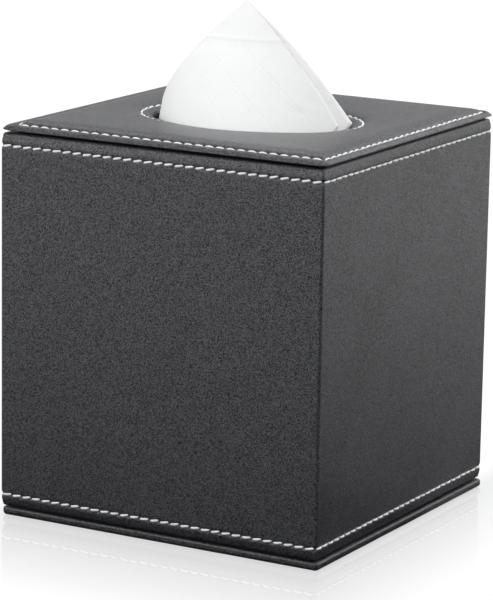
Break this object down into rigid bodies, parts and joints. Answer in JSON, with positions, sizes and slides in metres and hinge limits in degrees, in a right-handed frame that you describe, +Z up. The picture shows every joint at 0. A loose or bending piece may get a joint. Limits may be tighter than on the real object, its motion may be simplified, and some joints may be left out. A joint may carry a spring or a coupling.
{
  "type": "leather tissue box cover",
  "caption": "Square stitched leather cover for a cube carton of tissues, with a padded lid, an oval mouth that a tissue stands out of, and a hinged base flap.",
  "frame": {"origin": "on the floor, under the middle of the closed base flap", "axes": "+X along the front wall, +Y from the front wall to the hinged back, +Z up"},
  "size_m": [0.1256, 0.1256, 0.1792],
  "materials": {
    "leather": "black, fine pebble grain, soft sheen",
    "board": "raw fibreboard",
    "foam": "thin foam sheet",
    "lining": "black brushed cloth",
    "thread": "white twisted thread",
    "magnet": "plated bar magnet",
    "card": "plain white card",
    "tissue": "soft white tissue with a fine dotted emboss"
  },
  "bodies": {
    "cover": {"wall_leather": "leather", "lid_leather": "leather", "hinge_strip": "leather", "front_board": "board", "back_board": "board", "left_board": "board", "right_board": "board", "lid_board": "board", "lid_padding": "foam", "wall_lining": "lining", "lid_lining": "lining", "upper_wall_stitching": "thread", "lower_wall_stitching": "thread", "lid_edge_stitching": "thread", "mouth_stitching": "thread", "wall_magnets": "magnet", "tissue_carton": "card", "tissue_stack": "tissue", "tissue_sheet": "tissue"},
    "base_flap": {"base_leather": "leather", "base_board": "board", "base_lining": "lining", "flap_magnets": "magnet"}
  },
  "joints": [
    {"name": "base_hinge", "type": "hinge", "parent": "cover", "child": "base_flap", "pos_m": [0, 0.0628, 0.0031], "axis": [1, 0, 0], "range_deg": [0, 180], "deforming": ["hinge_strip"]}
  ]
}
